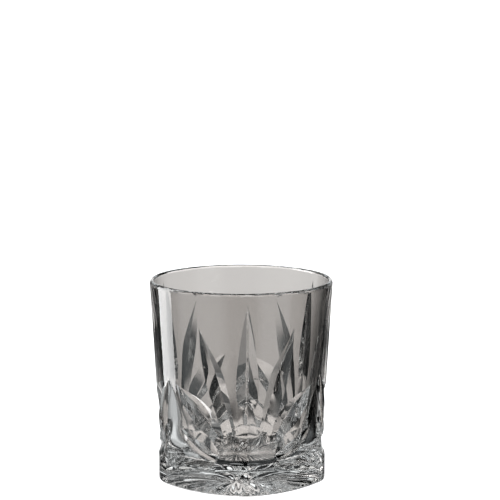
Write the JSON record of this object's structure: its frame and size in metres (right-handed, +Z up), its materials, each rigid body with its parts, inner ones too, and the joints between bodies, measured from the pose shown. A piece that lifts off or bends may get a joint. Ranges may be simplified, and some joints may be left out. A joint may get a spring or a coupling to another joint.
{
  "type": "whiskey tumbler",
  "caption": "Stemless drinking tumbler of smoke-grey pressed glass, round at the rim and triangular at its thick foot, with a fan of V-cut leaves on each side.",
  "frame": {"origin": "on the glass's axis, in the plane of its standing face", "axes": "+Z up along the axis, through the open mouth; -Y through the middle of one fan side"},
  "size_m": [0.0898, 0.0898, 0.1],
  "materials": {
    "smoke_glass": "clear smoke-grey glass, fire-polished, with a rounded lip"
  },
  "bodies": {
    "root": {"tumbler_glass": "smoke_glass"}
  },
  "joints": []
}
